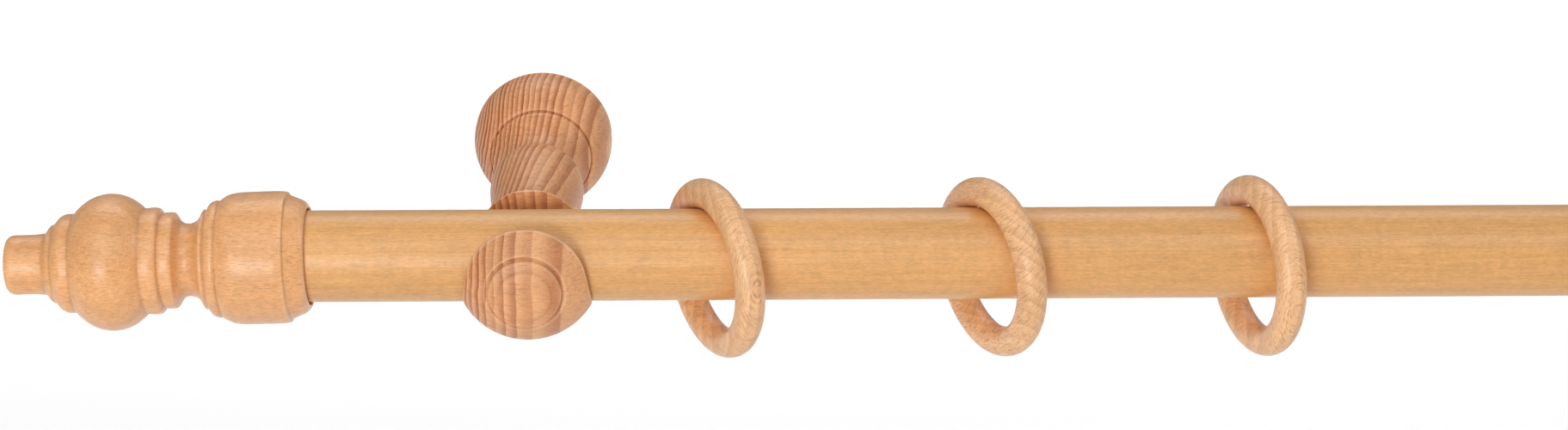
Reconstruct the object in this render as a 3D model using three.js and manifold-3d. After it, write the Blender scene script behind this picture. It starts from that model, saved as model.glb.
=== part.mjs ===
// A wooden curtain pole set: a beech pole that lies in two turned wall brackets, with a turned finial
// slipped over each end and twelve wooden rings on it. Each bracket hangs on a steel hanger bolt in a
// nylon wall plug. Millimetres; +X runs along the pole to the right, +Y into the wall, +Z up. The origin
// is on the face of the wall, halfway between the brackets, at the height of the hanger bolts.
import * as THREE from "three";
import { mergeVertices } from "three/addons/utils/BufferGeometryUtils.js";
import Module from "manifold-3d";

const wasm = await Module();
wasm.setup();

// Pole
const POLE_RADIUS = 14;
const POLE_LENGTH = 1200;
const POLE_CHAMFER = 0.8;
const POLE_RISE = 1.8; // the pole's axis lies this far above the brackets' axes
const WALL_TO_POLE = 96;

// Finials
const FINIAL_GRIP = 25; // how far the pole goes into each finial
const SOCKET_RADIUS = 14.8;
const FINIAL_DROOP = THREE.MathUtils.degToRad(1.6); // the loose socket lets the tip hang a little low

// Brackets
const MOUTH_TO_BRACKET = 66.5; // from a finial's open end to the bracket's axis
const ROSETTE_RADIUS = 22.6;
const HEAD_RADIUS = 22.6;
const HEAD_CENTRE = 99.4; // from the wall to the middle of the ball-shaped head
const HEAD_BACK_LENGTH = 28.9; // half length of the ellipse that shapes the head behind its middle
const SADDLE_RADIUS = 16.4;
const SADDLE_CLEARANCE = 0.2; // between the pole and the bottom of the saddle

// Hanger bolts and wall plugs
const BOLT_RADIUS = 3;
const BOLT_WOOD_RADIUS = 2.4;
const BOLT_HALF = 30;
const BOLT_TIP = 6; // length of the point
const BOLT_CHAMFER = 0.6;
const FIT_GAP = 0.3;
const BOLT_HOLE_DEPTH = BOLT_HALF + 1;
const PLUG_SINK = 2.2; // the plug is pushed this far below the face of the wall
const PLUG_LENGTH = 35;
const PLUG_RADIUS = 5;
const PLUG_TAPER = 10; // length of its narrowing end
const PLUG_TIP_RADIUS = 3.8;
const SMALL_SEGMENTS = 16; // round the bolts and plugs

// Rings
const RING_RADIUS = 23.6; // middle of the stock
const RING_STOCK_RADIUS = 4.6;
const RING_HOVER = 0.3; // gap between a ring and the top of the pole that it hangs on
const RING_COUNT = 12;
const FIRST_RINGS = [56.8, 141.4, 223, 352]; // from the left bracket's axis; the others follow evenly
const LAST_RING = 57; // from the right bracket's axis
const RING_TURNS = [27, 27.3, 17.5, 24, 20.5, 26, 19, 23.5, 27, 18.5, 22, 25.5]; // degrees about the vertical

const TURNED_SEGMENTS = 24;
const RING_SEGMENTS = 24;
const RING_STOCK_SEGMENTS = 8;

const mouth = POLE_LENGTH / 2 - FINIAL_GRIP; // x of a finial's open end
const bracketX = mouth - MOUTH_TO_BRACKET;

// ---- solids ----

function bare(geometry) {
  const g = geometry.clone();
  g.deleteAttribute("normal");
  g.deleteAttribute("uv");
  return mergeVertices(g, 1e-4);
}

function toSolid(geometry) {
  const g = bare(geometry);
  return new wasm.Manifold(
    new wasm.Mesh({
      numProp: 3,
      vertProperties: new Float32Array(g.attributes.position.array),
      triVerts: new Uint32Array(g.index.array),
    }),
  );
}

function toGeometry(solid) {
  const mesh = solid.getMesh();
  const g = new THREE.BufferGeometry();
  g.setAttribute("position", new THREE.BufferAttribute(new Float32Array(mesh.vertProperties), 3));
  g.setIndex(new THREE.BufferAttribute(new Uint32Array(mesh.triVerts), 1));
  g.computeVertexNormals();
  return g;
}

// A solid turned about +Y. The profile is a list of [distance along Y, radius], starting and ending on
// the axis or closing on itself, in order of rising Y along its outside.
function turned(profile, segments = TURNED_SEGMENTS) {
  return new THREE.LatheGeometry(
    profile.map(([along, radius]) => new THREE.Vector2(radius, along)),
    segments,
  );
}

// Points of an arc of an ellipse, as [along, radius], between two angles from the outward +Y direction.
function ellipseArc(centre, alongHalf, radiusHalf, from, to, steps) {
  const points = [];
  for (let i = 0; i <= steps; i++) {
    const angle = THREE.MathUtils.degToRad(from + ((to - from) * i) / steps);
    points.push([centre + alongHalf * Math.cos(angle), radiusHalf * Math.sin(angle)]);
  }
  return points;
}

// ---- pole ----

function poleGeometry() {
  const half = POLE_LENGTH / 2;
  const g = turned([
    [-half, 0],
    [-half, POLE_RADIUS - POLE_CHAMFER],
    [-half + POLE_CHAMFER, POLE_RADIUS],
    [half - POLE_CHAMFER, POLE_RADIUS],
    [half, POLE_RADIUS - POLE_CHAMFER],
    [half, 0],
  ]);
  return g.rotateZ(-Math.PI / 2);
}

// ---- finial ----
// Each outline is a list of [distance from the open end, radius]. The socket is the hole that the pole goes
// into.

const FINIAL_OUTSIDE = [
  [0, 15.4], // mouth
  [1.6, 17.2],
  [5.4, 18.9], // lip groove
  [6.1, 19.9],
  [8, 20.15], // collar
  [21.5, 20],
  [25, 18.9],
  [26.6, 17.6], // groove between the collar and its beads
  [27.7, 17.9],
  [29.4, 17.2],
  [30.6, 15.2],
  [31.8, 15],
  [33.4, 12.4], // cove
  [36, 11.1],
  [38.4, 11.6],
  [40.2, 14.2], // beads under the ball
  [44.3, 14.5],
  [44.8, 15.6],
  [47, 16.3],
  [49.5, 16],
];

const BALL_CENTRE = 59.9;
const BALL_RADIUS = 20.9;
const BALL_HALF_LENGTH = 16;

const FINIAL_TIP = [
  [71.8, 15.1], // beads beyond the ball
  [73.8, 15],
  [76.6, 12.6],
  [78.4, 11.4],
  [80, 9.4], // button
  [90, 9],
  [91.6, 8],
  [92.1, 0],
];

const SOCKET = [
  [32, 0],
  [32, 9.8],
  [30, 12.8],
  [27, SOCKET_RADIUS],
  [0, SOCKET_RADIUS],
];

function finialGeometry() {
  const ball = ellipseArc(BALL_CENTRE, BALL_HALF_LENGTH, BALL_RADIUS, 130, 46, 8);
  return turned([...SOCKET, ...FINIAL_OUTSIDE, ...ball, ...FINIAL_TIP]);
}

// ---- bracket ----
// Each outline is a list of [distance from the wall, radius], from the front of the head to the wall.

const KNOB_FACE = [
  [122.3, 0], // button on the front of the head
  [121.7, 7.5],
  [120.8, 9.1],
  [119.5, 9.8],
  [119.2, 12],
  [118.4, 12.5],
];

const NECK = [
  [78.8, 15.7],
  [77, 14.6],
  [75, 12.6],
  [66, 12.9],
  [56, 14],
  [46, 14.85], // ball of the neck
  [40, 14.2],
  [35.5, 12.3],
  [32, 11.1], // cove
  [28, 11.7],
  [23, 14.2],
  [20.2, 16.1],
  [18.6, 16.3],
  [18, 17.2], // dome of the rosette
  [14.5, 20.1],
  [10, 21.9],
  [6, ROSETTE_RADIUS],
  [2, ROSETTE_RADIUS],
  [0, 22],
];

function bracketGeometry() {
  const front = ellipseArc(HEAD_CENTRE, HEAD_RADIUS, HEAD_RADIUS, 35.5, 90, 6);
  const back = ellipseArc(HEAD_CENTRE, HEAD_BACK_LENGTH, HEAD_RADIUS, 98, 133.5, 4);
  const outside = [...KNOB_FACE, ...front, ...back, ...NECK].map(([fromWall, r]) => [-fromWall, r]);
  const holeRadius = BOLT_RADIUS + FIT_GAP;
  const boltHole = [
    [0, holeRadius],
    [-BOLT_HOLE_DEPTH, holeRadius],
    [-BOLT_HOLE_DEPTH - holeRadius / 2, 0],
  ];
  const body = toSolid(turned([...outside, ...boltHole]));
  return toGeometry(body.subtract(toSolid(saddleCut())));
}

// The open-topped saddle: half round at the bottom, straight up to the open top.
function saddleCut() {
  const saddleCentre = POLE_RISE - POLE_RADIUS + SADDLE_RADIUS - SADDLE_CLEARANCE;
  const top = 2 * HEAD_RADIUS;
  const length = 3 * HEAD_RADIUS;
  const outline = new THREE.Shape();
  outline.moveTo(SADDLE_RADIUS, top);
  outline.lineTo(-SADDLE_RADIUS, top);
  outline.lineTo(-SADDLE_RADIUS, saddleCentre);
  outline.absarc(0, saddleCentre, SADDLE_RADIUS, Math.PI, 2 * Math.PI, false);
  outline.lineTo(SADDLE_RADIUS, top);
  const g = new THREE.ExtrudeGeometry(outline, {
    depth: length,
    bevelEnabled: false,
    curveSegments: 20,
  });
  g.translate(0, 0, -length / 2);
  const alongPole = new THREE.Matrix4().makeBasis(
    new THREE.Vector3(0, 1, 0),
    new THREE.Vector3(0, 0, 1),
    new THREE.Vector3(1, 0, 0),
  );
  return g.applyMatrix4(alongPole).translate(0, -WALL_TO_POLE, 0);
}

// ---- hanger bolt and wall plug ----

function boltGeometry() {
  return turned(
    [
      [-BOLT_HALF, 0],
      [-BOLT_HALF, BOLT_RADIUS - BOLT_CHAMFER],
      [-BOLT_HALF + BOLT_CHAMFER, BOLT_RADIUS],
      [-FIT_GAP, BOLT_RADIUS],
      [FIT_GAP, BOLT_WOOD_RADIUS],
      [BOLT_HALF - BOLT_TIP, BOLT_WOOD_RADIUS],
      [BOLT_HALF, 0],
    ],
    SMALL_SEGMENTS,
  );
}

function plugGeometry() {
  const bore = BOLT_WOOD_RADIUS + FIT_GAP;
  const end = PLUG_SINK + PLUG_LENGTH;
  return turned(
    [
      [PLUG_SINK, bore],
      [PLUG_SINK, PLUG_RADIUS],
      [end - PLUG_TAPER, PLUG_RADIUS],
      [end, PLUG_TIP_RADIUS],
      [end, bore],
      [PLUG_SINK, bore],
    ],
    SMALL_SEGMENTS,
  );
}

// ---- ring ----
// A torus whose plane is vertical and whose hole looks along X.

function ringGeometry() {
  const g = new THREE.TorusGeometry(RING_RADIUS, RING_STOCK_RADIUS, RING_STOCK_SEGMENTS, RING_SEGMENTS);
  return g.rotateY(Math.PI / 2);
}

function ringPlaces() {
  const spacing = 2 * bracketX;
  const lastOfFirst = FIRST_RINGS[FIRST_RINGS.length - 1];
  const others = RING_COUNT - FIRST_RINGS.length;
  const pitch = (spacing - LAST_RING - lastOfFirst) / others;
  const places = [...FIRST_RINGS];
  for (let i = 1; i <= others; i++) places.push(lastOfFirst + i * pitch);
  return places.map((fromLeft) => fromLeft - bracketX);
}

// ---- materials ----

const wood = (colour) => new THREE.MeshStandardMaterial({ color: colour, roughness: 0.45, metalness: 0 });
const poleWood = () => wood(0xd9a266);
const finialWood = () => wood(0xdb9f6b);
const bracketWood = () => wood(0xc98f66);
const ringWood = () => wood(0xd3a078);
const zincSteel = () => new THREE.MeshStandardMaterial({ color: 0xb9bcc0, roughness: 0.35, metalness: 1 });
const greyNylon = () => new THREE.MeshStandardMaterial({ color: 0x9aa0a3, roughness: 0.55, metalness: 0 });

// ---- assembly ----

const assembly = new THREE.Group();

function add(name, geometry, material, parent = assembly) {
  const mesh = new THREE.Mesh(geometry, material);
  mesh.name = name;
  parent.add(mesh);
  return mesh;
}

const poleLine = new THREE.Group();
poleLine.position.set(0, -WALL_TO_POLE, POLE_RISE);
assembly.add(poleLine);
add("pole", poleGeometry(), poleWood(), poleLine);

for (const [side, direction] of [["left", -1], ["right", 1]]) {
  const bracketGroup = new THREE.Group();
  bracketGroup.position.x = direction * bracketX;
  assembly.add(bracketGroup);
  add("bracket_" + side, bracketGeometry(), bracketWood(), bracketGroup);
  add("hanger_bolt_" + side, boltGeometry(), zincSteel(), bracketGroup);
  add("wall_plug_" + side, plugGeometry(), greyNylon(), bracketGroup);

  const finialShape = finialGeometry().rotateZ((-direction * Math.PI) / 2);
  const finial = add("finial_" + side, finialShape, finialWood(), poleLine);
  finial.position.x = direction * mouth;
  finial.rotation.y = direction * FINIAL_DROOP;
}

ringPlaces().forEach((x, i) => {
  const ring = add("ring_" + String(i + 1).padStart(2, "0"), ringGeometry(), ringWood(), poleLine);
  ring.position.set(x, 0, POLE_RADIUS - (RING_RADIUS - RING_STOCK_RADIUS) + RING_HOVER);
  ring.rotation.z = THREE.MathUtils.degToRad(RING_TURNS[i]);
});

export default assembly;
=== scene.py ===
"""A wooden curtain pole set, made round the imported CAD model: a beech pole in two turned wall brackets,
with a turned finial at each end and twelve wooden rings. Shapes are written in millimetres and placed in
metres where the frame says."""
import math

import bmesh
import bpy
import numpy as np
from mathutils import Matrix, Vector


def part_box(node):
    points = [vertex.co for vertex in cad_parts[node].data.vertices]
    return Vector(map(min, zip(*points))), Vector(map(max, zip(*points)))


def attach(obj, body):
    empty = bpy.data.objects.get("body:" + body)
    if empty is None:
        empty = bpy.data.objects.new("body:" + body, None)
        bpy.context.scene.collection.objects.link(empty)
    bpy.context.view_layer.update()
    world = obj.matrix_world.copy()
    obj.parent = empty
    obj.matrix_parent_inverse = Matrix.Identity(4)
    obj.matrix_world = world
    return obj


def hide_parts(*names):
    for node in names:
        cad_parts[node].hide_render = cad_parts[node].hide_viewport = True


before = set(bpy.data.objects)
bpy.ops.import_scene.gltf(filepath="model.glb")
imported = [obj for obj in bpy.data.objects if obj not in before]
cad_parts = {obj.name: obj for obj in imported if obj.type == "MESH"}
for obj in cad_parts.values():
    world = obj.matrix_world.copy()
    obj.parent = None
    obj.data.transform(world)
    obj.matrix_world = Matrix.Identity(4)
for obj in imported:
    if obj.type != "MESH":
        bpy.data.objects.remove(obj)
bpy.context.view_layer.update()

MM = 0.001
TINY = 1e-6
X, Y, Z = Vector((1, 0, 0)), Vector((0, 1, 0)), Vector((0, 0, 1))


def centre_of(node):
    """The middle of a CAD node's box, in metres."""
    low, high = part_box(node)
    return (low + high) / 2


# ---- camera ----

CAMERA_ELEVATION = math.radians(25)
CAMERA_YAW = math.radians(1.1)  # it looks this far to the right of straight on
CAMERA_ROLL = math.radians(0.2)
CAMERA_DISTANCE = 0.998
CAMERA_LENS = 75.04
SENSOR_WIDTH = 36
AIM_RIGHT_OF_BRACKET = 0.0779
AIM_ABOVE_POLE = 0.0119  # the view's centre, measured up the image


def make_camera():
    """A camera that looks down at the left end of the pole."""
    pole = centre_of("pole")
    bracket = centre_of("hanger_bolt_left")
    aim = Vector((bracket.x + AIM_RIGHT_OF_BRACKET, pole.y, pole.z))
    ahead = Vector((
        math.sin(CAMERA_YAW) * math.cos(CAMERA_ELEVATION),
        math.cos(CAMERA_YAW) * math.cos(CAMERA_ELEVATION),
        -math.sin(CAMERA_ELEVATION),
    ))
    level_right = Vector((math.cos(CAMERA_YAW), -math.sin(CAMERA_YAW), 0))
    right = Matrix.Rotation(-CAMERA_ROLL, 3, ahead) @ level_right
    up = right.cross(ahead)
    data = bpy.data.cameras.new("camera")
    data.sensor_width = SENSOR_WIDTH
    data.lens = CAMERA_LENS
    camera = bpy.data.objects.new("camera", data)
    bpy.context.scene.collection.objects.link(camera)
    turn = Matrix((right, up, -ahead)).transposed().to_4x4()
    place = aim - ahead * CAMERA_DISTANCE + up * AIM_ABOVE_POLE
    camera.matrix_world = Matrix.Translation(place) @ turn
    bpy.context.scene.camera = camera


# ---- outlines ----
# A run is a list of (distance along the axis, radius) that is smooth from end to end. Runs meet at small
# rounded corners.

CORNER = 0.25  # how far a rounded corner reaches
CORNER_SHARE = 0.45  # the most that it takes of the step beside it
STEP = 0.5  # spacing of the points along a curved run


def smooth_run(points):
    """Points along a smooth curve through a run's points (centripetal Catmull-Rom)."""
    points = [np.array(p, float) for p in points]
    if len(points) == 2:
        return points
    before, after = 2 * points[0] - points[1], 2 * points[-1] - points[-2]
    knots = [before, *points, after]
    out = [points[0]]
    for p0, p1, p2, p3 in zip(knots, knots[1:], knots[2:], knots[3:]):
        t0 = 0.0
        t1 = t0 + math.sqrt(np.linalg.norm(p1 - p0))
        t2 = t1 + math.sqrt(np.linalg.norm(p2 - p1))
        t3 = t2 + math.sqrt(np.linalg.norm(p3 - p2))
        count = max(1, round(np.linalg.norm(p2 - p1) / STEP))
        for i in range(1, count + 1):
            t = t1 + (t2 - t1) * i / count
            a1 = ((t1 - t) * p0 + (t - t0) * p1) / (t1 - t0)
            a2 = ((t2 - t) * p1 + (t - t1) * p2) / (t2 - t1)
            a3 = ((t3 - t) * p2 + (t - t2) * p3) / (t3 - t2)
            b1 = ((t2 - t) * a1 + (t - t0) * a2) / (t2 - t0)
            b2 = ((t3 - t) * a2 + (t - t1) * a3) / (t3 - t1)
            out.append(((t2 - t) * b1 + (t - t1) * b2) / (t2 - t1))
    return out


def outline(*runs):
    """One list of (along, radius) from runs whose ends meet, with each meeting rounded."""
    smooth = [smooth_run(run) for run in runs]
    out = list(smooth[0])
    for run in smooth[1:]:
        meeting = out.pop()
        back, on = out[-1] - meeting, run[1] - meeting
        reach_back = min(CORNER, CORNER_SHARE * np.linalg.norm(back))
        reach_on = min(CORNER, CORNER_SHARE * np.linalg.norm(on))
        start = meeting + back / np.linalg.norm(back) * reach_back
        end = meeting + on / np.linalg.norm(on) * reach_on
        out += [start, (start + 2 * meeting + end) / 4, end, *run[1:]]
    return out


def arc(centre, along_half, radius_half, start, end, count):
    """A run on an ellipse about (centre, 0), between two angles in degrees from the axis."""
    angles = np.radians(np.linspace(start, end, count + 1))
    return [(centre + along_half * math.cos(a), radius_half * math.sin(a)) for a in angles]


RELIEF_REACH = 1.1  # how far round a point its surroundings go


def relief_of(profile):
    """How far each point of an outline stands proud of its surroundings, and below 0 in grooves."""
    p = np.array(profile)
    steps = np.linalg.norm(np.diff(p, axis=0), axis=1)
    length = np.concatenate([[0], np.cumsum(steps)])
    weight = np.maximum(np.gradient(length), TINY)
    kernel = np.exp(-(((length[:, None] - length[None, :]) / RELIEF_REACH) ** 2)) * weight[None, :]
    flat = kernel @ p / kernel.sum(1)[:, None]
    tangent = np.gradient(p, axis=0)
    tangent /= np.maximum(np.linalg.norm(tangent, axis=1), TINY)[:, None]
    normal = np.stack([-tangent[:, 1], tangent[:, 0]], axis=1)
    relief = ((p - flat) * normal).sum(1)
    # an outline may run either way, but its widest point is always a ridge
    return relief if relief[np.argmax(p[:, 1])] >= 0 else -relief


# ---- meshes ----


def new_piece(name, vertices, faces, place, relief=None):
    """A smooth piece from vertices in millimetres in its own frame, set down at its place."""
    mesh = bpy.data.meshes.new(name)
    mesh.from_pydata([place @ (Vector(v) * MM) for v in vertices], [], faces)
    mesh.update()
    values = np.zeros(len(vertices)) if relief is None else np.array(relief)
    mesh.attributes.new("relief", "FLOAT", "POINT").data.foreach_set("value", values)
    work = bmesh.new()
    work.from_mesh(mesh)
    bmesh.ops.recalc_face_normals(work, faces=work.faces)
    work.to_mesh(mesh)
    work.free()
    mesh.shade_smooth()
    piece = bpy.data.objects.new(name, mesh)
    bpy.context.scene.collection.objects.link(piece)
    even = piece.modifiers.new("even_normals", "WEIGHTED_NORMAL")
    even.keep_sharp = True
    return piece


def turned(name, profile, place, segments, closed=False, radius=None):
    """A solid turned about its own Y axis. radius(along, r, angle) may reshape it, as a thread does."""
    vertices, values, rings = [], [], []
    for (along, r), rise in zip(profile, relief_of(profile)):
        if r < TINY:
            rings.append([len(vertices)])
            vertices.append((0, along, 0))
            values.append(rise)
            continue
        rings.append(list(range(len(vertices), len(vertices) + segments)))
        for k in range(segments):
            angle = 2 * math.pi * k / segments
            rk = radius(along, r, angle) if radius else r
            vertices.append((rk * math.cos(angle), along, rk * math.sin(angle)))
            values.append(rise)
    faces = []
    pairs = list(zip(rings, rings[1:])) + ([(rings[-1], rings[0])] if closed else [])
    for a, b in pairs:
        for k in range(segments):
            n = (k + 1) % segments
            if len(a) == 1:
                faces.append((a[0], b[k], b[n]))
            elif len(b) == 1:
                faces.append((a[k], b[0], a[n]))
            else:
                faces.append((a[k], b[k], b[n], a[n]))
    return new_piece(name, vertices, faces, place, values)


def placing(origin, axis):
    """A piece's place from its origin in metres and its own Y axis, with its own Z as upright as can be."""
    y = axis.normalized()
    x = y.cross(Z).normalized()
    z = x.cross(y)
    return Matrix.Translation(origin) @ Matrix((x, y, z)).transposed().to_4x4()


def turning_axis(node, toward):
    """A long turned CAD node's end and axis: the axis runs the way of toward, from the end at its start."""
    points = np.array([v.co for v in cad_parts[node].data.vertices])
    centre = points.mean(0)
    axis = np.linalg.eigh(np.cov((points - centre).T))[1][:, 2]
    axis = axis * np.sign(axis @ np.array(toward))
    along = (points - centre) @ axis
    return Vector(centre + axis * along.min()), Vector(axis)


def paint_grain(piece, centre, along, pith, distance, shift=0.0):
    """Stores where each point lay in its tree, in millimetres: x along the grain, the pith on the x axis.

    pith points from the piece's centre to the middle of the tree, that distance away."""
    along = along.normalized()
    pith = (pith - along * pith.dot(along)).normalized()
    side = along.cross(pith)
    points = (np.array([v.co for v in piece.data.vertices]) - np.array(centre)) / MM
    grain = np.stack([points @ along + shift, distance - points @ pith, points @ side], axis=1)
    store = piece.data.attributes.new("grain", "FLOAT_VECTOR", "POINT")
    store.data.foreach_set("vector", grain.ravel())


def finish_piece(piece, body, node, material):
    piece.data.materials.append(material)
    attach(piece, body)
    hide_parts(node)


# ---- shader nodes ----


def add_node(tree, kind, inputs=None, **settings):
    """A shader node with its settings, and its inputs set to values or linked to other nodes' outputs."""
    node = tree.nodes.new(kind)
    for key, value in settings.items():
        setattr(node, key, value)
    for key, value in (inputs or {}).items():
        if isinstance(value, bpy.types.NodeSocket):
            tree.links.new(value, node.inputs[key])
        else:
            node.inputs[key].default_value = value
    return node


def math_node(tree, operation, a, b=0.0):
    return add_node(tree, "ShaderNodeMath", {0: a, 1: b}, operation=operation).outputs[0]


def times(tree, a, b):
    return math_node(tree, "MULTIPLY", a, b)


def total(tree, first, *others):
    for other in others:
        first = math_node(tree, "ADD", first, other)
    return first


def noise(tree, vector, scale, detail, roughness=0.5, shift=0.0):
    """Noise with scale cells to each unit of the vector each way. shift picks another part of it."""
    inputs = {0: vector, 1: scale, 2: (shift, shift, shift)}
    moved = add_node(tree, "ShaderNodeVectorMath", inputs, operation="MULTIPLY_ADD").outputs[0]
    inputs = {"Vector": moved, "Scale": 1.0, "Detail": detail, "Roughness": roughness}
    return add_node(tree, "ShaderNodeTexNoise", inputs).outputs["Fac"]


def level(tree, value, low, high, to_low=0.0, to_high=1.0):
    """A value eased from to_low, where it is low, to to_high, where it is high."""
    inputs = {"Value": value, "From Min": low, "From Max": high, "To Min": to_low, "To Max": to_high}
    return add_node(tree, "ShaderNodeMapRange", inputs, interpolation_type="SMOOTHSTEP").outputs[0]


NOISE_LOW, NOISE_HIGH = 0.3, 0.7  # most noise lies in this range


def spread(tree, value, to_low, to_high):
    """Noise spread over a range."""
    return level(tree, value, NOISE_LOW, NOISE_HIGH, to_low, to_high)


def mix(tree, amount, a, b, blend="MIX"):
    node = add_node(tree, "ShaderNodeMix", data_type="RGBA", blend_type=blend)
    for socket, value in ((0, amount), (6, a), (7, b)):
        if isinstance(value, bpy.types.NodeSocket):
            tree.links.new(value, node.inputs[socket])
        else:
            node.inputs[socket].default_value = value
    return node.outputs[2]


def colour(code):
    """A hexadecimal sRGB colour as linear values."""
    values = [int(code[i : i + 2], 16) / 255 for i in (0, 2, 4)]
    linear = [v / 12.92 if v <= 0.04045 else ((v + 0.055) / 1.055) ** 2.4 for v in values]
    return (*linear, 1.0)


def add_bump(tree, shader, height, strength, distance):
    bump = add_node(tree, "ShaderNodeBump", {"Height": height, "Strength": strength, "Distance": distance})
    tree.links.new(bump.outputs[0], shader.inputs["Normal"])


def new_material(name):
    material = bpy.data.materials.new(name)
    material.use_nodes = True
    tree = material.node_tree
    return material, tree, tree.nodes["Principled BSDF"]


# ---- beech ----
# The wood is solid: growth rings round the pith, rays out from it and fibres along the grain. Lengths are in
# millimetres, and noise scales are cells to a millimetre along the grain and both ways across it.

WANDER = 2.4  # how far growth rings stray from true circles
WANDER_SCALE = (0.008, 0.03, 0.03)
RIPPLE = 0.16  # and how far they waver from one spot to the next
RIPPLE_SCALE = (0.02, 0.25, 0.25)
DARKENING = (0.05, 0.97)  # a year's wood darkens slowly outwards between these parts of the year
YEAR_END = (1.0, 0.95)  # then stops at a sharp line
SEASON_SCALE = (0.6, 1, 1)  # years differ, by noise that runs from year to year
SEASON_RANGE = (0.3, 0.65)
SEASON_STRENGTH = (0.5, 1.0)
DENSITY_RANGE = (0.15, 0.85)  # growth rings to a millimetre: the close ones are the darker
DENSITY_STRENGTH = (0.75, 1.5)

# Rays and figure have a space of their own: along the grain, out from the pith, and around it.
CELLS_PER_RADIAN = 80.0
RAY_SCALE = (0.5, 0.22, 3.4)
RAY_RANGE = (0.53, 0.68)  # ray noise above this range is all ray
RAY_DARK = (0.1, 0.03, 0.01, 1)
RAY_DARK_SHARE = 0.1
RAY_SHINE = 0.1  # how much rougher a ray is
RAY_HEIGHT = -0.5
FIGURE_SCALE = (0.35, 0.12, 0.5)
FIGURE_TONE = 0.045

FIBRE_SCALE = (0.06, 2.2, 2.2)
FIBRE_RANGE = (0.25, 0.75)
FIBRE_TONE = (0.92, 1.07)
FIBRE_SHINE = 0.05
FIBRE_HEIGHT = 0.6
CLOUD_SCALE = (0.012, 0.05, 0.05)
CLOUD_TONE = 0.05
MOTTLE_SCALE = (0.6, 2.6, 2.6)
MOTTLE_TONE = 0.09

# The relief attribute paints shade into grooves and a highlight onto ridges.
RELIEF_RANGE = (-0.3, 0.1)  # from grooves to ridges
GROOVE_SHADE_TONE, RIDGE_LIGHT_TONE = -0.2, 0.05
# A painted highlight lightens ridges and the saddle's broken edge towards a pale colour.
HIGHLIGHT_PAINT_COLOUR = colour("FAD6AE")
RIDGE_HIGHLIGHT_PAINT = (0.02, 0.25, 0.0, 0.22)  # the relief where the painted highlight starts and ends, and its strength there
RIM_HIGHLIGHT_PAINT = (0.8, 1.8, 0.0, 0.2)

LACQUER_ROUGHNESS = 0.42
WOOD_SPECULAR = 0.35
WOOD_BUMP = 0.25
WOOD_BUMP_DISTANCE = 0.00012


def growth_rings(tree, grain, straight, growth, tighten):
    """How much late, dark wood there is at a point whose straight distance from the pith is given."""
    wander = level(tree, noise(tree, grain, WANDER_SCALE, 3.0), 0, 1, -WANDER, WANDER)
    ripple = level(tree, noise(tree, grain, RIPPLE_SCALE, 2.0, shift=7.3), 0, 1, -RIPPLE, RIPPLE)
    radius = total(tree, straight, wander, ripple)
    years = times(tree, radius, total(tree, times(tree, radius, tighten), growth))
    year = math_node(tree, "FRACT", years)
    late = times(tree, level(tree, year, *DARKENING), level(tree, year, *YEAR_END))
    season = noise(tree, add_node(tree, "ShaderNodeCombineXYZ", {0: years}).outputs[0], SEASON_SCALE, 1.0)
    late = times(tree, late, level(tree, season, *SEASON_RANGE, *SEASON_STRENGTH))
    density = total(tree, times(tree, radius, 2 * tighten), growth)
    return times(tree, late, level(tree, density, *DENSITY_RANGE, *DENSITY_STRENGTH))


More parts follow.
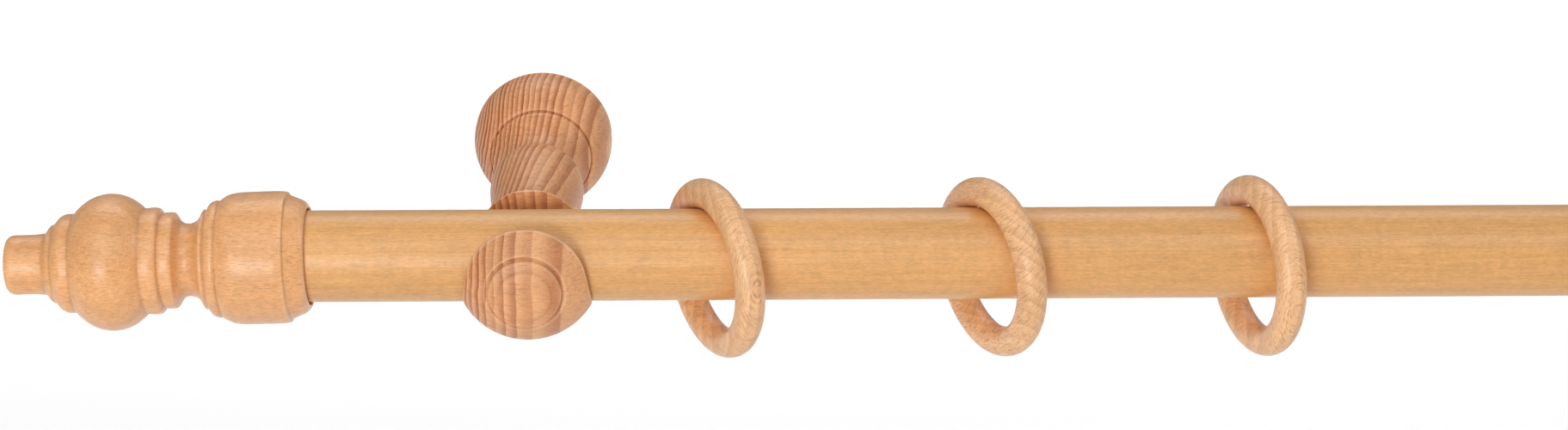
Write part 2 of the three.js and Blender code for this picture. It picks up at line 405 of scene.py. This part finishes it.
def beech(name, pale, dark, growth, growth_strength, fleck_strength, rough, coat,
          tighten=0.0, edge_shading_strength=1.0):
    """Lacquered beech, cut from the tree as each mesh's grain attribute says.

    growth is the number of growth rings per millimetre at the pith, and tighten how much it rises with each
    millimetre from it. Rays are ribbons that lie along the radius: dashes on one face, sheets on another."""
    material, tree, shader = new_material(name)
    grain = add_node(tree, "ShaderNodeAttribute", attribute_name="grain").outputs["Vector"]
    relief = add_node(tree, "ShaderNodeAttribute", attribute_name="relief").outputs["Fac"]
    part = add_node(tree, "ShaderNodeSeparateXYZ", {0: grain}).outputs
    flat = add_node(tree, "ShaderNodeVectorMath", {0: grain, 1: (0, 1, 1)}, operation="MULTIPLY").outputs[0]
    straight = add_node(tree, "ShaderNodeVectorMath", {0: flat}, operation="LENGTH").outputs["Value"]
    late = growth_rings(tree, grain, straight, growth, tighten)

    around = times(tree, math_node(tree, "ARCTAN2", part["Z"], part["Y"]), CELLS_PER_RADIAN)
    ray_space = add_node(tree, "ShaderNodeCombineXYZ", {0: part["X"], 1: straight, 2: around}).outputs[0]
    ray = level(tree, noise(tree, ray_space, RAY_SCALE, 1.0, 0.4), *RAY_RANGE)
    figure = noise(tree, ray_space, FIGURE_SCALE, 3.0, 0.55, shift=3.1)
    fibre = noise(tree, grain, FIBRE_SCALE, 3.0, 0.6)
    cloud = noise(tree, grain, CLOUD_SCALE, 2.0, shift=11.7)
    mottle = noise(tree, grain, MOTTLE_SCALE, 2.0, 0.6, shift=5.9)

    base = mix(tree, times(tree, late, growth_strength), pale, dark)
    base = mix(tree, times(tree, ray, fleck_strength), base, mix(tree, RAY_DARK_SHARE, dark, RAY_DARK))
    # painted shade in the grooves and painted highlight on the ridges, scaled by the edge strength
    painted_edge_shading = (GROOVE_SHADE_TONE * edge_shading_strength, RIDGE_LIGHT_TONE * edge_shading_strength)
    tone = total(
        tree,
        level(tree, fibre, *FIBRE_RANGE, *FIBRE_TONE),
        spread(tree, cloud, -CLOUD_TONE, CLOUD_TONE),
        spread(tree, figure, -FIGURE_TONE, FIGURE_TONE),
        spread(tree, mottle, -MOTTLE_TONE, MOTTLE_TONE),
        level(tree, relief, *RELIEF_RANGE, *painted_edge_shading),
    )
    grey = add_node(tree, "ShaderNodeCombineXYZ", {0: tone, 1: tone, 2: tone}).outputs[0]
    base = mix(tree, 1.0, base, grey, "MULTIPLY")
    # painted highlight on the ridges and on the saddle's broken edge
    highlight_paint = total(tree, level(tree, relief, *RIDGE_HIGHLIGHT_PAINT), level(tree, relief, *RIM_HIGHLIGHT_PAINT))
    tree.links.new(mix(tree, highlight_paint, base, HIGHLIGHT_PAINT_COLOUR), shader.inputs["Base Color"])

    fibre_shine = spread(tree, fibre, rough - FIBRE_SHINE, rough + FIBRE_SHINE)
    tree.links.new(total(tree, fibre_shine, times(tree, ray, RAY_SHINE)), shader.inputs["Roughness"])
    height = total(tree, times(tree, fibre, FIBRE_HEIGHT), times(tree, ray, RAY_HEIGHT))
    add_bump(tree, shader, height, WOOD_BUMP, WOOD_BUMP_DISTANCE)
    shader.inputs["Specular IOR Level"].default_value = WOOD_SPECULAR
    shader.inputs["Coat Weight"].default_value = coat
    shader.inputs["Coat Roughness"].default_value = LACQUER_ROUGHNESS
    return material


# ---- metal, plastic and floor ----
# Noise scales here are cells to a metre.

ZINC_CAST_SCALE = (180, 180, 180)
ZINC_MARK_SCALE = (900, 6000, 900)
ZINC_ROUGHNESS = (0.22, 0.42)
NYLON_FLOW_SCALE = (300, 60, 300)
NYLON_SPECK_SCALE = (5000, 5000, 5000)
NYLON_ROUGHNESS = (0.45, 0.62)
FINE_BUMP_DISTANCE = 0.0001


def zinc_steel():
    """Bright zinc plate with fine turning marks and a faint blue and yellow cast."""
    material, tree, shader = new_material("zinc_steel")
    place = add_node(tree, "ShaderNodeTexCoord").outputs["Object"]
    cast = noise(tree, place, ZINC_CAST_SCALE, 3.0)
    marks = noise(tree, place, ZINC_MARK_SCALE, 2.0)
    base = mix(tree, level(tree, cast, 0.35, 0.65), colour("C9CCD1"), colour("C6BFA8"))
    tree.links.new(base, shader.inputs["Base Color"])
    tree.links.new(spread(tree, marks, *ZINC_ROUGHNESS), shader.inputs["Roughness"])
    add_bump(tree, shader, marks, 0.15, FINE_BUMP_DISTANCE)
    shader.inputs["Metallic"].default_value = 1.0
    return material


def grey_nylon():
    """Moulded nylon: slightly mottled, with a fine matt texture."""
    material, tree, shader = new_material("grey_nylon")
    place = add_node(tree, "ShaderNodeTexCoord").outputs["Object"]
    flow = noise(tree, place, NYLON_FLOW_SCALE, 3.0)
    speck = noise(tree, place, NYLON_SPECK_SCALE, 2.0, shift=2.3)
    base = mix(tree, spread(tree, flow, 0, 1), colour("8F9598"), colour("A3A8AA"))
    tree.links.new(base, shader.inputs["Base Color"])
    tree.links.new(spread(tree, speck, *NYLON_ROUGHNESS), shader.inputs["Roughness"])
    add_bump(tree, shader, speck, 0.2, FINE_BUMP_DISTANCE)
    return material


def pale_floor():
    material, _, shader = new_material("pale_floor")
    shader.inputs["Base Color"].default_value = (0.82, 0.82, 0.82, 1)
    shader.inputs["Roughness"].default_value = 0.9
    return material


# ---- pole ----

POLE_CHAMFER = 0.8
POLE_SEGMENTS = 160
POLE_GRAIN = X + 0.004 * Z
POLE_PITH = Vector((0, 0.25, 1))
POLE_PITH_DISTANCE = 70


def make_pole(material):
    low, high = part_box("pole")
    centre = (low + high) / 2
    radius, half = (high.z - low.z) / 2 / MM, (high.x - low.x) / 2 / MM
    inner = radius - POLE_CHAMFER
    profile = outline(
        [(-half, 0), (-half, inner)],
        [(-half, inner), (-half + POLE_CHAMFER, radius)],
        [(-half + POLE_CHAMFER, radius), (half - POLE_CHAMFER, radius)],
        [(half - POLE_CHAMFER, radius), (half, inner)],
        [(half, inner), (half, 0)],
    )
    piece = turned("turned_pole", profile, placing(centre, X), POLE_SEGMENTS)
    paint_grain(piece, centre, POLE_GRAIN, POLE_PITH, POLE_PITH_DISTANCE)
    finish_piece(piece, "pole", "pole", material)


# ---- finials ----
# Distances are from the open end.

SOCKET_RUNS = [
    [(32, 0), (32, 9.8)],
    [(32, 9.8), (31.4, 11.4), (30, 12.8), (28.4, 14.1), (27, 14.8)],
    [(27, 14.8), (0.3, 14.8)],
]

FINIAL_RUNS = [
    [(0.3, 14.8), (0, 15.1), (0, 15.4), (0.4, 16.2), (1.6, 17.2), (3.4, 18), (4.7, 18.55), (5.35, 18.85)],
    [(5.35, 18.85), (5.7, 18.95), (6.1, 19.9)],
    [(6.1, 19.9), (8, 20.15), (15, 20.2), (21.5, 20), (24.2, 19.3), (26.2, 18.2)],
    [(26.2, 18.2), (26.6, 17.6)],
    [(26.6, 17.6), (27.6, 17.9), (29.4, 17.2), (30.4, 15.6)],
    [(30.4, 15.6), (30.8, 15.2), (31.6, 15.2), (32.2, 14.2)],
    [(32.2, 14.2), (33.4, 12.4), (35.2, 11.3), (36.8, 11.1), (38.4, 11.6), (39.6, 13), (40.2, 14.2)],
    [(40.2, 14.2), (40.8, 14.6), (42.2, 14.7), (43.6, 14.6), (44.2, 14.4)],
    [(44.2, 14.4), (44.6, 15.4)],
    [(44.6, 15.4), (45.2, 16), (46.4, 16.3), (48.4, 16.2), (49.6, 16.01)],
    arc(59.9, 16, 20.9, 130, 46, 14),
    [(71.014, 15.034), (71.8, 15.1), (73.6, 15), (74.8, 14.5), (75.6, 13.8), (76.6, 12.6)],
    [(76.6, 12.6), (77, 12.1)],
    [(77, 12.1), (77.8, 11.9), (78.4, 11.4), (79.4, 10), (80, 9.4)],
    [(80, 9.4), (83, 9.1), (87, 9.05), (90, 9), (91, 8.6), (91.4, 8.3), (91.85, 7.2), (91.95, 0)],
]
FINIAL_SEGMENTS = 160
FINIAL_GRAIN_LEAN = 0.03 * Z
FINIAL_PITH = {"left": Vector((0, 0.9, -0.4)), "right": Vector((0, -0.5, -0.8))}
FINIAL_PITH_DISTANCE = 65
FINIAL_GRAIN_SHIFT = 40  # a part of the tree that the pole isn't from


def make_finial(side, toward, material):
    node = "finial_" + side
    mouth, axis = turning_axis(node, toward)
    profile = outline(*SOCKET_RUNS, *FINIAL_RUNS)
    piece = turned("turned_" + node, profile, placing(mouth, axis), FINIAL_SEGMENTS)
    grain = axis + FINIAL_GRAIN_LEAN
    paint_grain(piece, mouth, grain, FINIAL_PITH[side], FINIAL_PITH_DISTANCE, FINIAL_GRAIN_SHIFT)
    finish_piece(piece, node, node, material)


# ---- brackets ----
# Distances are from the wall.

KNOB_RUNS = [
    [(122.3, 0), (122.25, 3), (122.1, 5), (121.8, 6.8), (121.45, 7.6)],
    [(121.45, 7.6), (121.15, 8), (120.9, 8.15)],
    [(120.9, 8.15), (120.75, 8.5), (120.4, 9.6), (120, 10.6)],
    [(120, 10.6), (119.7, 10.9), (118.9, 11), (118.35, 11.15)],
    [(118.35, 11.15), (118.3, 11.4), (118.55, 11.9), (118.6, 12.3), (118.4, 12.6), (118.1, 12.87)],
]
HEAD_CENTRE = 99.4
HEAD_RADIUS = 22.6
HEAD_BACK_LENGTH = 28.9
NECK_RUNS = [
    [(79.506, 16.393), (78.8, 15.7), (77, 14.6), (75.7, 13.4), (75, 12.7)],
    [(75, 12.7), (73.4, 12.45), (72, 12.4), (66, 12.9), (60, 13.5), (52, 14.4), (46, 14.85), (41.5, 14.5),
     (38, 13.5), (35, 12), (32, 11.1), (28.5, 11.5), (25, 12.9), (22, 14.9), (20.6, 15.9)],
    [(20.6, 15.9), (20.2, 16.1), (19.2, 16.2), (18.2, 16.25)],
    [(18.2, 16.25), (18.7, 16.85)],
    [(18.7, 16.85), (18.2, 17.5), (16.4, 18.9), (13.5, 20.6), (10, 21.9), (6, 22.6), (2, 22.6)],
    [(2, 22.6), (0.4, 22.4), (0, 22)],
]
HOLE_RADIUS = 3.3
HOLE_DEPTH = 31
HOLE_RUNS = [
    [(0, 22), (0, HOLE_RADIUS)],
    [(0, HOLE_RADIUS), (HOLE_DEPTH, HOLE_RADIUS)],
    [(HOLE_DEPTH, HOLE_RADIUS), (HOLE_DEPTH + HOLE_RADIUS / 2, 0)],
]
SADDLE_RADIUS = 16.4
SADDLE_CLEARANCE = 0.2
CUT_START = NECK_RUNS[0][0][0] - 6  # the saddle is cut only further out than this
EDGE = 0.5  # width of the broken edge round the saddle
RIM_RELIEF = 2.5  # the broken edge gets a painted highlight
BRACKET_SEGMENTS = 168
SADDLE_COLUMNS = 24
BISECTIONS = 30
BRACKET_GRAIN_LEAN = {"left": 0.17, "right": -0.1}
BRACKET_PITH = Vector((-1, 0, 0.12))
BRACKET_PITH_DISTANCE = 78


def bracket_profile():
    front = arc(HEAD_CENTRE, HEAD_RADIUS, HEAD_RADIUS, 34.5, 90, 12)
    back = arc(HEAD_CENTRE, HEAD_BACK_LENGTH, HEAD_RADIUS, 90, 133.5, 10)
    front[0] = KNOB_RUNS[-1][-1]
    back[-1] = NECK_RUNS[0][0]
    return outline(*KNOB_RUNS, front + back[1:], *NECK_RUNS, *HOLE_RUNS)


class Saddle:
    """The open-topped hollow for the pole: a U, half round at the bottom, seen along the pole.

    Its outline runs from the top of the front side, down and round, to the top of the back side. distance
    and place are measured from that outline, positive outside it."""

    def __init__(self, pole_from_wall, pole_rise, pole_radius):
        self.along = pole_from_wall
        self.rise = pole_rise - pole_radius + SADDLE_RADIUS - SADDLE_CLEARANCE

    def distance(self, along, z):
        across, up = along - self.along, z - self.rise
        return (abs(across) if up > 0 else math.hypot(across, up)) - SADDLE_RADIUS

    def outside_cut(self, spot):
        """How far a spot on the turned surface, (along, radius, angle), lies outside the cut."""
        along, r, angle = spot
        return self.distance(along, r * math.sin(angle)) - EDGE if along > CUT_START else 1.0

    def place(self, along, z):
        """Where on the outline the nearest point lies: 0 where the front side turns into the round."""
        across, up = self.along - along, z - self.rise
        if up > 0:
            return -up if across < 0 else SADDLE_RADIUS * math.pi + up
        return SADDLE_RADIUS * math.atan2(-up, -across)

    def point(self, place):
        """(along, z, and how fast z rises along the outline) at a place. Along falls towards the wall."""
        if place < 0:
            return self.along + SADDLE_RADIUS, self.rise - place, -1.0
        if place > SADDLE_RADIUS * math.pi:
            return self.along - SADDLE_RADIUS, self.rise + place - SADDLE_RADIUS * math.pi, 1.0
        angle = place / SADDLE_RADIUS
        return (
            self.along + SADDLE_RADIUS * math.cos(angle),
            self.rise - SADDLE_RADIUS * math.sin(angle),
            -math.cos(angle),
        )


def between(a, b, share):
    return tuple(p + (q - p) * share for p, q in zip(a, b))


def share_to_cut(saddle, a, b):
    """How far along the way from spot a to spot b the cut is crossed, from 0 to 1."""
    starts_inside = saddle.outside_cut(a) < 0
    low, high = 0.0, 1.0
    for _ in range(BISECTIONS):
        middle = (low + high) / 2
        if (saddle.outside_cut(between(a, b, middle)) < 0) == starts_inside:
            low = middle
        else:
            high = middle
    return low


def snapped_grid(profile, saddle, segments):
    """The turned grid's spots, and how far outside the cut each lies, by (ring, column).

    Spots close to the cut are moved onto it, so that it follows the grid's own lines. Only the left half is
    worked out, and the right half mirrors it."""
    half = segments // 2
    spots = {
        (i, k): (along, r, math.pi / 2 + 2 * math.pi * k / segments)
        for i, (along, r) in enumerate(profile)
        for k in range(segments)
    }
    sides = {key: saddle.outside_cut(spot) for key, spot in spots.items() if key[1] <= half}
    moves = {}
    for (i, k), here in sides.items():
        for other in ((i + 1, k), (i, k + 1)):
            if other not in sides or (here < 0) == (sides[other] < 0):
                continue
            a, b = spots[i, k], spots[other]
            share = share_to_cut(saddle, a, b)
            # the nearer end moves, except that a spot in the mirror plane never moves out of it
            leaves_plane = other[1] != k and (k == 0 or k + 1 == half)
            move_here = k > 0 if leaves_plane else share < 0.5
            key, far = ((i, k), share) if move_here else (other, 1 - share)
            reach = far * math.dist((a[0], a[1] * a[2]), (b[0], b[1] * b[2]))
            if key not in moves or reach < moves[key][0]:
                moves[key] = (reach, between(a, b, share))
    for key, (_, crossing) in moves.items():
        spots[key], sides[key] = crossing, 0.0
    for i in range(len(profile)):
        for k in range(1, half):
            along, r, angle = spots[i, k]
            spots[i, segments - k] = (along, r, math.pi - angle)
            sides[i, segments - k] = sides[i, k]
    return spots, sides


class Shell:
    """The bracket's turned surface outside the cut, with a relief value for each vertex."""

    def __init__(self, profile, saddle, segments):
        self.profile, self.segments = profile, segments
        self.spots, sides = snapped_grid(profile, saddle, segments)
        self.proud = relief_of(profile)
        self.vertices, self.relief, self.faces = [], [], []
        self.index, self.keys = {}, []
        for i in range(len(profile) - 1):
            for k in range(segments):
                n = (k + 1) % segments
                kept = [c for c in ((i, k), (i + 1, k), (i + 1, n), (i, n)) if sides[c] >= 0]
                if len(kept) > 2 and any(sides[c] > 0 for c in kept):
                    self.add_face([self.vertex(c) for c in kept])

    def vertex(self, key):
        """The vertex at a (ring, column), made when first asked for. A ring of no radius has only one."""
        if self.profile[key[0]][1] < TINY:
            key = (key[0], 0)
        if key not in self.index:
            along, r, angle = self.spots[key]
            point = (r * math.cos(angle), along, r * math.sin(angle))
            self.index[key] = self.add_point(point, self.proud[key[0]])
            self.keys.append(key)
        return self.index[key]

    def twin(self, v):
        """The mirror image of a turned vertex."""
        ring, column = self.keys[v]
        return self.index[ring, self.segments - column]

    def add_point(self, point, rise):
        self.vertices.append(tuple(point))
        self.relief.append(rise)
        return len(self.vertices) - 1

    def add_face(self, corners):
        """A face from its corners, with any repeated corner counted once."""
        face = tuple(dict.fromkeys(corners))
        if len(face) > 2:
            self.faces.append(face)

    def rim(self):
        """The vertices on the open edge left by the cut."""
        uses = {}
        for face in self.faces:
            for edge in zip(face, face[1:] + face[:1]):
                uses[frozenset(edge)] = uses.get(frozenset(edge), 0) + 1
        return sorted({v for edge, count in uses.items() if count == 1 for v in edge})


def edge_points(saddle, surface, rim_point):
    """The middle and inner points of the broken edge beside a rim vertex on the left."""
    x, along, z = rim_point
    place = saddle.place(along, z)
    edge_along, edge_z, slope = saddle.point(place)
    radius = np.interp(-edge_along, *surface)
    edge_x = -math.sqrt(max(radius**2 - edge_z**2, 0.0))
    inner_x = edge_x * (1 - EDGE / radius)
    inner_along, inner_z, _ = saddle.point(place - EDGE * edge_z / radius * slope)
    inner = (inner_x, inner_along, inner_z)
    corners = zip((x, along, z), (edge_x, edge_along, edge_z), inner)
    return [(a + 2 * b + c) / 4 for a, b, c in corners], inner


def line_saddle(shell, saddle):
    """Closes the cut with its broken edge and the hollow, in rows across from the left rim to the right."""
    head = [(a, r) for a, r in shell.profile if a > HEAD_CENTRE - HEAD_BACK_LENGTH]
    surface = ([-a for a, _ in head], [r for _, r in head])
    rim = shell.rim()
    # the rim's high relief paints a highlight along the broken edge
    for v in rim:
        shell.relief[v] = RIM_RELIEF
    left = [v for v in rim if shell.vertices[v][0] < -TINY]
    tops = [v for v in rim if abs(shell.vertices[v][0]) <= TINY]
    order = sorted(left, key=lambda v: saddle.place(*shell.vertices[v][1:]))
    front_top, back_top = sorted(tops, key=lambda v: -shell.vertices[v][1])
    rows = []
    for v in [front_top, *order, back_top]:
        middle, inner = edge_points(saddle, surface, shell.vertices[v])
        if v in (front_top, back_top):
            m = shell.add_point((0, *middle[1:]), RIM_RELIEF)
            n = shell.add_point((0, *inner[1:]), 0.0)
            rows.append([v, m] + [n] * (SADDLE_COLUMNS + 1) + [m, v])
            continue
        left_middle = shell.add_point(middle, RIM_RELIEF)
        across = [
            shell.add_point((inner[0] * (1 - 2 * j / SADDLE_COLUMNS), *inner[1:]), 0.0)
            for j in range(SADDLE_COLUMNS + 1)
        ]
        right_middle = shell.add_point((-middle[0], *middle[1:]), RIM_RELIEF)
        rows.append([v, left_middle, *across, right_middle, shell.twin(v)])
    for a, b in zip(rows, rows[1:]):
        for j in range(len(a) - 1):
            shell.add_face((a[j], b[j], b[j + 1], a[j + 1]))


def make_bracket(side, material):
    node = "bracket_" + side
    bolt = centre_of("hanger_bolt_" + side)
    low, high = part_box("pole")
    pole = (low + high) / 2
    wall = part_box(node)[1].y
    saddle = Saddle((wall - pole.y) / MM, (pole.z - bolt.z) / MM, (high.z - low.z) / 2 / MM)
    shell = Shell(bracket_profile(), saddle, BRACKET_SEGMENTS)
    line_saddle(shell, saddle)
    origin = Vector((bolt.x, wall, bolt.z))
    vertices = [(-x, along, z) for x, along, z in shell.vertices]
    piece = new_piece("turned_" + node, vertices, shell.faces, placing(origin, -Y), shell.relief)
    grain = Vector((BRACKET_GRAIN_LEAN[side], 1, 0))
    paint_grain(piece, origin, grain, BRACKET_PITH, BRACKET_PITH_DISTANCE)
    finish_piece(piece, "wall_brackets", node, material)


# ---- hanger bolts ----

MACHINE_RADIUS = 3.0
MACHINE_PITCH = 1.0
MACHINE_STEP = 0.2
THREAD_DEPTH = 0.4
BOLT_CHAMFER = 0.5
WOOD_RADIUS = 2.4
WOOD_PITCH = 2.2
WOOD_STEP = 0.25
WOOD_THREAD_DEPTH = 0.65
WOOD_THREAD_FLANK = 3.2  # how steeply a thread rises to its crest
POINT_LENGTH = 6
POINT_RADIUS = 0.02
BOLT_SEGMENTS = 32


def threaded(along, r, angle):
    """A V thread on the half in the bracket and a coarse sharp one on the half in the wall."""
    if along < 0:
        turn = (along / MACHINE_PITCH - angle / (2 * math.pi)) % 1
        return r - THREAD_DEPTH * (1 - abs(2 * turn - 1)) * min(1.0, r / MACHINE_RADIUS)
    turn = (along / WOOD_PITCH - angle / (2 * math.pi)) % 1
    return r * (1 - WOOD_THREAD_DEPTH / WOOD_RADIUS * min(1.0, WOOD_THREAD_FLANK * abs(turn - 0.5)))


def make_bolt(side, material):
    node = "hanger_bolt_" + side
    low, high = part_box(node)
    half = (high.y - low.y) / 2 / MM
    machine = np.arange(-half, 0, MACHINE_STEP)
    wood = np.arange(MACHINE_STEP, half, WOOD_STEP)
    profile = [(-half, 0.0)]
    profile += [(a, min(MACHINE_RADIUS, MACHINE_RADIUS - BOLT_CHAMFER + a + half)) for a in machine]
    profile += [(a, min(WOOD_RADIUS, WOOD_RADIUS * (half - a) / POINT_LENGTH + POINT_RADIUS)) for a in wood]
    profile += [(half, 0.0)]
    place = placing((low + high) / 2, Y)
    piece = turned("threaded_" + node, profile, place, BOLT_SEGMENTS, radius=threaded)
    finish_piece(piece, "wall_brackets", node, material)


# ---- wall plugs ----

PLUG_BODY = 0.88  # the tube between its barbs, against its full radius
PLUG_BORE = 0.54
PLUG_TIP = 0.76
TAPER_LENGTH = 10
COLLAR_LENGTH = 2  # plain at the mouth
TIP_LENGTH = 1  # plain at the far end
SLOT_START = 9
SLOT_HALF_WIDTH = 0.55
SLOT_WALL = 0.3  # left standing round the bore
BARB_PITCH = 3.2
WING_SHARPNESS = 0.985  # closer to 1 for narrower wings
WING_END = SLOT_START * 1.6
PLUG_STEP = 0.25
BORE_STEP = 1.0
PLUG_SEGMENTS = 96


def make_plug(side, material):
    node = "wall_plug_" + side
    low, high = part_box(node)
    start = Vector(((low.x + high.x) / 2, low.y, (low.z + high.z) / 2))
    length, full = (high.y - low.y) / MM, (high.x - low.x) / 2 / MM
    bore, tip = full * PLUG_BORE, full * PLUG_TIP

    def ribbed(along, r, angle):
        if r < bore + SLOT_WALL / 3:
            return r
        sideways = min(abs(math.sin(angle)), abs(math.cos(angle))) * r
        if along > SLOT_START and sideways < SLOT_HALF_WIDTH:
            return bore + SLOT_WALL
        if along < COLLAR_LENGTH or along > length - TIP_LENGTH:
            return r
        if abs(math.sin(2 * angle)) > WING_SHARPNESS and along < WING_END:
            return r
        barb = 1 - ((along - COLLAR_LENGTH) / BARB_PITCH) % 1
        return r * (PLUG_BODY + (1 - PLUG_BODY) * barb * (along > SLOT_START))

    outer = [
        (a, min(full, tip + (full - tip) * (length - a) / TAPER_LENGTH))
        for a in np.arange(0, length + 0.01, PLUG_STEP)
    ]
    inner = [(a, bore) for a in np.arange(length, -0.01, -BORE_STEP)]
    place = placing(start, Y)
    piece = turned("ribbed_" + node, outer + inner, place, PLUG_SEGMENTS, closed=True, radius=ribbed)
    finish_piece(piece, "wall_brackets", node, material)


# ---- rings ----

RING_STOCK = 4.6
RING_INSET = 0.22  # keeps the round ring inside the flats of the plain one
RING_STEPS = 112
RING_SIDES = 36
# in the ring's plane, in degrees from level
RING_GRAIN = [82, 150, 96, 20, 120, 65, 170, 100, 40, 135, 75, 10]
RING_PITH_LEAN = (-0.8, 0.5)  # in even and odd rings
RING_PITH_DISTANCE = 55
RING_GRAIN_SHIFT = 90  # each ring comes from further along the tree


def make_ring(number, grain_angle, material):
    node = f"ring_{number:02d}"
    points = np.array([v.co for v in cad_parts[node].data.vertices])
    centre = (points.min(0) + points.max(0)) / 2
    axis = Vector(np.linalg.eigh(np.cov((points - centre).T))[1][:, 0])
    axis = axis if axis.x > 0 else -axis
    outer = np.linalg.norm(points - centre, axis=1).max() / MM
    middle = outer - RING_STOCK - RING_INSET
    vertices, faces = [], []
    for i in range(RING_STEPS):
        a = 2 * math.pi * i / RING_STEPS
        for j in range(RING_SIDES):
            b = 2 * math.pi * j / RING_SIDES
            r = middle + RING_STOCK * math.cos(b)
            vertices.append((r * math.cos(a), RING_STOCK * math.sin(b), r * math.sin(a)))
            here, on = i * RING_SIDES, (i + 1) % RING_STEPS * RING_SIDES
            m = (j + 1) % RING_SIDES
            faces.append((here + j, on + j, on + m, here + m))
    piece = new_piece("turned_" + node, vertices, faces, placing(Vector(centre), axis))
    level_way = Z.cross(axis).normalized()
    angle = math.radians(grain_angle)
    along = level_way * math.cos(angle) + Z * math.sin(angle)
    across = level_way * -math.sin(angle) + Z * math.cos(angle)
    pith = axis + across * RING_PITH_LEAN[number % 2]
    paint_grain(piece, centre, along, pith, RING_PITH_DISTANCE, shift=RING_GRAIN_SHIFT * number)
    finish_piece(piece, node, node, material)


# ---- stage and light ----

FLOOR_DROP = 0.3
FLOOR_SIZE = 12
SHOWN_MIDDLE = -0.4  # the lights stand round this place along the pole, near the middle of the photo
WORLD_STRENGTH = 0.3
BACK_LIGHT_SPREAD = math.radians(80)
# Each light has its place and target from there in metres, its width and height, and its power in watts.
LIGHTS = {
    "key_light": ((-0.65, -1.8, 0.35), (0, 0, 0), 0.7, 0.6, 13.4),
    "front_light": ((-0.1, -1.2, 1.8), (0, 0, 0), 2.8, 1.3, 17.2),
    "back_light": ((0, 1.3, 1.2), (0, 0.9, -0.3), 3.0, 0.8, 11.5),
    "side_light": ((1.7, 0.1, 1.0), (0, 0, 0), 1.0, 0.8, 5),
}


def make_floor():
    low = min(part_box("ring_01")[0].z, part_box("bracket_left")[0].z) - FLOOR_DROP
    work = bmesh.new()
    bmesh.ops.create_grid(work, x_segments=1, y_segments=1, size=FLOOR_SIZE)
    mesh = bpy.data.meshes.new("floor")
    work.to_mesh(mesh)
    work.free()
    mesh.materials.append(pale_floor())
    floor = bpy.data.objects.new("floor", mesh)
    floor.location.z = low
    bpy.context.scene.collection.objects.link(floor)


def add_area(name, place, target, width, height, power):
    data = bpy.data.lights.new(name, "AREA")
    data.shape = "RECTANGLE"
    data.size, data.size_y = width, height
    data.energy = power
    light = bpy.data.objects.new(name, data)
    light.location = place
    light.rotation_mode = "QUATERNION"
    light.rotation_quaternion = (target - place).to_track_quat("-Z", "Y")
    bpy.context.scene.collection.objects.link(light)


def make_light():
    world = bpy.data.worlds.new("studio")
    world.use_nodes = True
    background = world.node_tree.nodes["Background"]
    background.inputs["Color"].default_value = (1, 1, 1, 1)
    background.inputs["Strength"].default_value = WORLD_STRENGTH
    bpy.context.scene.world = world
    pole = centre_of("pole")
    middle = Vector((SHOWN_MIDDLE, pole.y, pole.z))
    for name, (place, target, width, height, power) in LIGHTS.items():
        add_area(name, middle + Vector(place), middle + Vector(target), width, height, power)
    bpy.data.lights["back_light"].spread = BACK_LIGHT_SPREAD
    bpy.context.scene.view_settings.view_transform = "Standard"


# ---- everything ----


def main():
    make_camera()
    pole_wood = beech(
        "pole_beech", colour("E7AC69"), colour("CC8A48"),
        growth=0.3, growth_strength=0.22, fleck_strength=0.12, rough=0.36, coat=0.8,
    )
    finial_wood = beech(
        "finial_beech", colour("F2B174"), colour("CC8448"),
        growth=0.22, growth_strength=0.3, fleck_strength=0.42, rough=0.36, coat=1.0,
    )
    bracket_wood = beech(
        "bracket_beech", colour("EDAF7B"), colour("A84E20"),
        growth=1.677, tighten=-0.00739, growth_strength=0.85, fleck_strength=0.25, rough=0.45, coat=0.3,
        edge_shading_strength=0.8,
    )
    ring_wood = beech(
        "ring_beech", colour("F9C490"), colour("BE783F"),
        growth=0.35, growth_strength=0.35, fleck_strength=0.5, rough=0.4, coat=0.7,
    )
    steel, nylon = zinc_steel(), grey_nylon()
    make_pole(pole_wood)
    make_finial("left", -X, finial_wood)
    make_finial("right", X, finial_wood)
    for side in ("left", "right"):
        make_bracket(side, bracket_wood)
    for side in ("left", "right"):
        make_bolt(side, steel)
        make_plug(side, nylon)
    for number, grain_angle in enumerate(RING_GRAIN, 1):
        make_ring(number, grain_angle, ring_wood)
    make_floor()
    make_light()


main()
